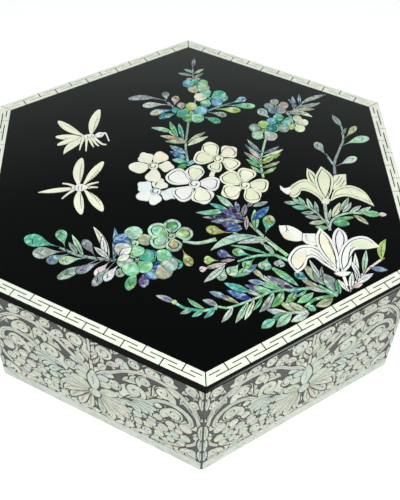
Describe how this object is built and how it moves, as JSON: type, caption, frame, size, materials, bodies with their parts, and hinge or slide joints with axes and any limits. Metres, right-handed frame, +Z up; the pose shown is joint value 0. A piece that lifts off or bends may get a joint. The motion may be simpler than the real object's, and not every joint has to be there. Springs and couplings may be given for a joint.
{
  "type": "shell-inlaid box",
  "caption": "Six-sided black lacquered box with a flat lift-off lid, its walls faced with shell scrollwork and its lid inlaid with shell flowers and insects.",
  "frame": {"origin": "centre of the underside, on the surface that the box stands on", "axes": "+Z up; two corners of the six-sided box on the Y axis, the lid picture's foot towards -Y; flat sides at +X and -X"},
  "size_m": [0.2252, 0.26, 0.089],
  "materials": {
    "lacquer": "deep gloss black lacquer on wood",
    "white_shell": "polished white mother-of-pearl",
    "grey_shell": "polished grey-green mother-of-pearl",
    "cream_shell": "polished cream mother-of-pearl",
    "green_shell": "polished green abalone with blue, pink and cream pieces",
    "blue_shell": "polished blue and violet abalone with green pieces"
  },
  "bodies": {
    "root": {"body": "lacquer", "lid": "lacquer", "lid_border_1": "white_shell", "side_panel_1": "grey_shell", "foot_strip_1": "grey_shell", "lid_border_2": "white_shell", "side_panel_2": "grey_shell", "foot_strip_2": "grey_shell", "lid_border_3": "white_shell", "side_panel_3": "grey_shell", "foot_strip_3": "grey_shell", "lid_border_4": "white_shell", "side_panel_4": "grey_shell", "foot_strip_4": "grey_shell", "lid_border_5": "white_shell", "side_panel_5": "grey_shell", "foot_strip_5": "grey_shell", "lid_border_6": "white_shell", "side_panel_6": "grey_shell", "foot_strip_6": "grey_shell", "lid_front_fronds": "green_shell", "lid_lower_spray": "green_shell", "lid_left_cluster": "green_shell", "lid_back_spray": "green_shell", "lid_right_spray": "green_shell", "lid_lily_leaves": "green_shell", "lid_white_lily": "white_shell", "lid_blossom_west": "white_shell", "lid_blossom_south_west": "white_shell", "lid_blossom_north": "white_shell", "lid_blossom_east": "white_shell", "lid_blossom_centre": "white_shell", "lid_upper_insect": "white_shell", "lid_lower_insect": "white_shell", "lid_middle_spray": "blue_shell", "lid_cream_lily": "cream_shell", "lid_bud_twig": "grey_shell", "lid_pink_twig": "grey_shell"}
  },
  "joints": []
}
